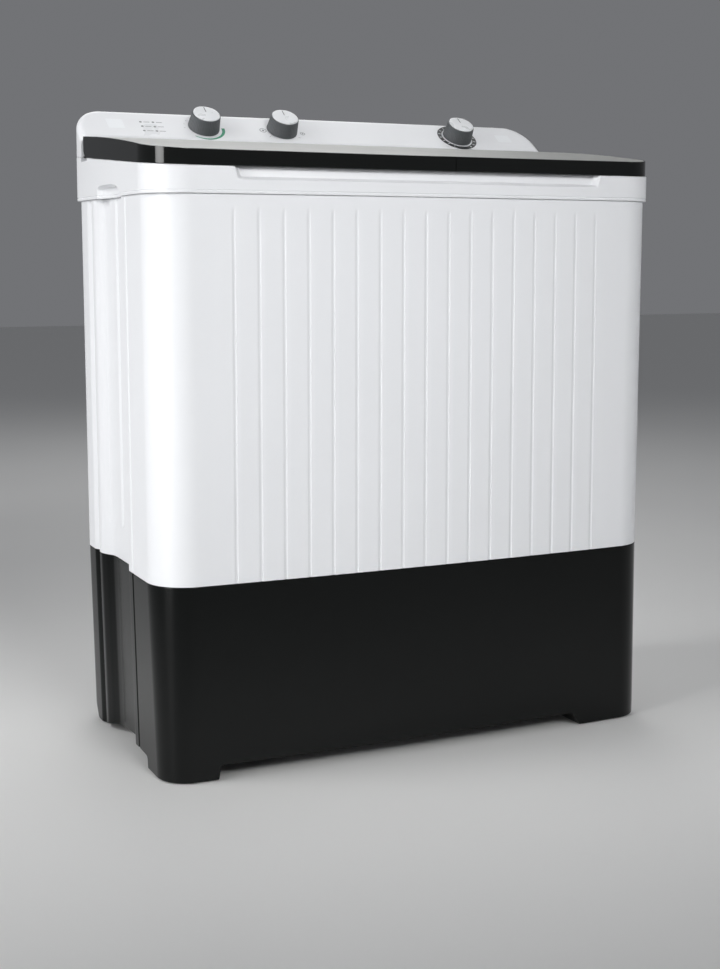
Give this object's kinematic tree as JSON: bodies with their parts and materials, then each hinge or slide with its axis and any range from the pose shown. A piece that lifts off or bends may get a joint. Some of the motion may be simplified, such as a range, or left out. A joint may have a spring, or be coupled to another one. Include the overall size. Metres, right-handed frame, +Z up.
{
  "type": "twin tub washer",
  "caption": "Twin tub washing machine: wash tub and spin dryer side by side under hinged lids in a ribbed white cabinet on a dark base, with a raised rear control console.",
  "frame": {"origin": "floor level, at the centre of the overall width and depth", "axes": "+Z up, -Y the front with the finger scoop, +X the side of the spin dryer"},
  "size_m": [0.844, 0.436, 0.9969],
  "materials": {
    "base": "satin charcoal",
    "foot": "matte black",
    "shell": "gloss white",
    "deck": "gloss white",
    "console": "gloss white",
    "back_cover": "matte charcoal",
    "screws": "zinc plated",
    "pins": "bright steel",
    "wash_tub": "smooth",
    "spin_tub": "smooth",
    "basket": "smooth",
    "inner_cover": "smooth",
    "motor": "cast, painted grey",
    "metalwork": "dark paint",
    "shafts": "machined",
    "rubber": "matte black",
    "hose": "ribbed grey",
    "spigot": "satin charcoal",
    "capacitor": "matte light grey",
    "timers": "matte grey",
    "lid": "satin warm grey",
    "band": "gloss black",
    "knob": "satin grey, fluted",
    "knob_cap": "brushed foil"
  },
  "bodies": {
    "housing": {"base_housing": "base", "foot_pad_front_left": "foot", "foot_pad_front_right": "foot", "foot_pad_rear_left": "foot", "foot_pad_rear_right": "foot", "cabinet": "shell", "back_cover": "back_cover", "back_screw_1": "screws", "back_screw_2": "screws", "back_screw_3": "screws", "back_screw_4": "screws", "top_deck": "deck", "wash_hinge_pin_left": "pins", "wash_hinge_pin_right": "pins", "spin_hinge_pin_left": "pins", "spin_hinge_pin_right": "pins", "wash_tub": "wash_tub", "spin_tub": "spin_tub", "overflow_cover": "wash_tub", "bearing_housing": "metalwork", "drive_bracket": "metalwork", "wash_motor": "motor", "drive_belt": "rubber", "spin_motor": "motor", "spin_motor_mount_1": "rubber", "spin_motor_mount_2": "rubber", "spin_motor_mount_3": "rubber", "spin_seal": "rubber", "brake_band": "metalwork", "brake_cable": "rubber", "drain_sump": "hose", "wash_drain_hose": "hose", "spin_drain_hose": "hose", "drain_outlet": "hose", "inlet_spigot_wash": "spigot", "inlet_spigot_spin": "spigot", "cord_gland": "rubber", "capacitor": "capacitor", "control_console": "console", "wash_timer": "timers", "selector_switch": "timers", "spin_timer": "timers"},
    "wash_lid": {"wash_lid_panel": "lid", "wash_lid_band": "band"},
    "spin_lid": {"spin_lid_panel": "lid", "spin_lid_band": "band"},
    "inner_cover": {"spin_inner_cover": "inner_cover"},
    "wash_timer_dial": {"wash_timer_knob": "knob", "wash_timer_knob_cap": "knob_cap"},
    "selector_dial": {"selector_knob": "knob", "selector_knob_cap": "knob_cap"},
    "spin_timer_dial": {"spin_timer_knob": "knob", "spin_timer_knob_cap": "knob_cap"},
    "agitator": {"pulsator": "wash_tub", "pulsator_drive": "shafts"},
    "motor_wheel": {"motor_pulley": "shafts"},
    "spinner": {"spin_basket": "basket", "spin_shaft": "shafts"},
    "plug": {"drain_plug": "rubber"},
    "brake_arm": {"brake_lever": "metalwork"}
  },
  "joints": [
    {"name": "wash_lid_hinge", "type": "hinge", "parent": "housing", "child": "wash_lid", "pos_m": [0, 0.1195, 0.926], "axis": [-1, 0, 0], "range_deg": [0, 95]},
    {"name": "spin_lid_hinge", "type": "hinge", "parent": "housing", "child": "spin_lid", "pos_m": [0, 0.1195, 0.926], "axis": [-1, 0, 0], "range_deg": [0, 95]},
    {"name": "inner_cover_hinge", "type": "hinge", "parent": "housing", "child": "inner_cover", "pos_m": [0, 0.0975, 0.90768], "axis": [-1, 0, 0], "range_deg": [0, 86]},
    {"name": "wash_timer_turn", "type": "hinge", "parent": "housing", "child": "wash_timer_dial", "pos_m": [-0.209, 0.1775, 0.96164], "axis": [0, 0.5948, -0.8039], "range_deg": [0, 300]},
    {"name": "selector_turn", "type": "hinge", "parent": "housing", "child": "selector_dial", "pos_m": [-0.071, 0.1775, 0.96164], "axis": [0, 0.5948, -0.8039], "range_deg": [0, 90]},
    {"name": "spin_timer_turn", "type": "hinge", "parent": "housing", "child": "spin_timer_dial", "pos_m": [0.2635, 0.1775, 0.96164], "axis": [0, 0.5948, -0.8039], "range_deg": [0, 300]},
    {"name": "pulsator_spin", "type": "hinge", "parent": "housing", "child": "agitator", "pos_m": [-0.177, -0.0425, 0.4], "axis": [0, 0, 1], "continuous": true},
    {"name": "motor_pulley_spin", "type": "hinge", "parent": "housing", "child": "motor_wheel", "pos_m": [-0.315, 0.0165, 0.271], "axis": [0, 0, 1], "continuous": true},
    {"name": "basket_spin", "type": "hinge", "parent": "housing", "child": "spinner", "pos_m": [0.232, -0.0425, 0.5], "axis": [0, 0, 1], "continuous": true},
    {"name": "plug_lift", "type": "slide", "parent": "housing", "child": "plug", "axis": [0, 0, 1], "range_m": [0, 0.0125]},
    {"name": "brake_arm_turn", "type": "hinge", "parent": "housing", "child": "brake_arm", "pos_m": [0.31, -0.0125, 0.259], "axis": [0, 0, 1], "range_deg": [0, 8]}
  ],
  "couplings": [
    {"joint": "inner_cover_hinge", "follows": "spin_lid_hinge", "ratio": 0.9},
    {"joint": "brake_arm_turn", "follows": "spin_lid_hinge", "ratio": 0.08},
    {"joint": "motor_pulley_spin", "follows": "pulsator_spin", "ratio": 3.5581},
    {"joint": "plug_lift", "follows": "selector_turn", "m_per_rad": 0.00763}
  ]
}
